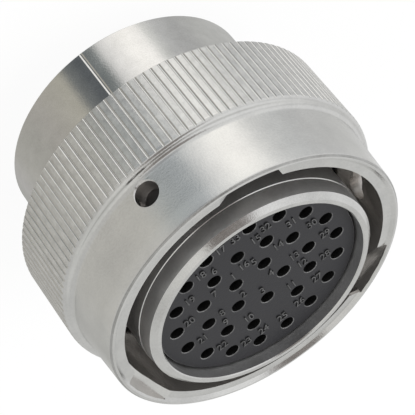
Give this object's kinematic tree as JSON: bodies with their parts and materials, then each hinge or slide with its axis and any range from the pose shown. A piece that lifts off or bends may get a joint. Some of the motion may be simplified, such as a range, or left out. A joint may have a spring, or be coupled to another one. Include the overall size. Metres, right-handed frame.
{
  "type": "circular bayonet connector plug",
  "caption": "Circular connector plug with recessed socket contacts, a smooth rear barrel and a knurled coupling ring whose helical tracks lock by a quarter turn.",
  "frame": {"origin": "centre of the body's rear face, on the mating axis", "axes": "+Z along the mating axis, out of the mating face; +Y through the key line on the rear barrel"},
  "size_m": [0.052, 0.052, 0.0395],
  "materials": {
    "metal": "satin nickel plating",
    "spring_metal": "satin",
    "hard_plastic": "matte",
    "contact_metal": "tin plated",
    "silicone": "matte",
    "black_rubber": "matte"
  },
  "bodies": {
    "plug_body": {"body": "metal", "barrel_seal": "black_rubber", "front_insert": "hard_plastic", "rear_insert": "hard_plastic", "grommet": "silicone", "retaining_ring": "spring_metal", "wave_washer": "spring_metal", "contact_01": "contact_metal", "contact_02": "contact_metal", "contact_03": "contact_metal", "contact_04": "contact_metal", "contact_05": "contact_metal", "contact_06": "contact_metal", "contact_07": "contact_metal", "contact_08": "contact_metal", "contact_09": "contact_metal", "contact_10": "contact_metal", "contact_11": "contact_metal", "contact_12": "contact_metal", "contact_13": "contact_metal", "contact_14": "contact_metal", "contact_15": "contact_metal", "contact_16": "contact_metal", "contact_17": "contact_metal", "contact_18": "contact_metal", "contact_19": "contact_metal", "contact_20": "contact_metal", "contact_21": "contact_metal", "contact_22": "contact_metal", "contact_23": "contact_metal", "contact_24": "contact_metal", "contact_25": "contact_metal", "contact_26": "contact_metal", "contact_27": "contact_metal", "contact_28": "contact_metal", "contact_29": "contact_metal", "contact_30": "contact_metal", "contact_31": "contact_metal", "contact_32": "contact_metal", "contact_33": "contact_metal"},
    "float_washer": {"thrust_washer": "metal"},
    "ring": {"coupling_ring": "metal"}
  },
  "joints": [
    {"name": "ring_float", "type": "slide", "parent": "plug_body", "child": "float_washer", "axis": [0, 0, 1], "range_m": [0, 0.0006], "stiffness_N_per_m": 10000, "deforming": ["wave_washer"]},
    {"name": "ring_turn", "type": "hinge", "parent": "float_washer", "child": "ring", "pos_m": [0, 0, 0.0172], "axis": [0, 0, 1], "continuous": true}
  ]
}
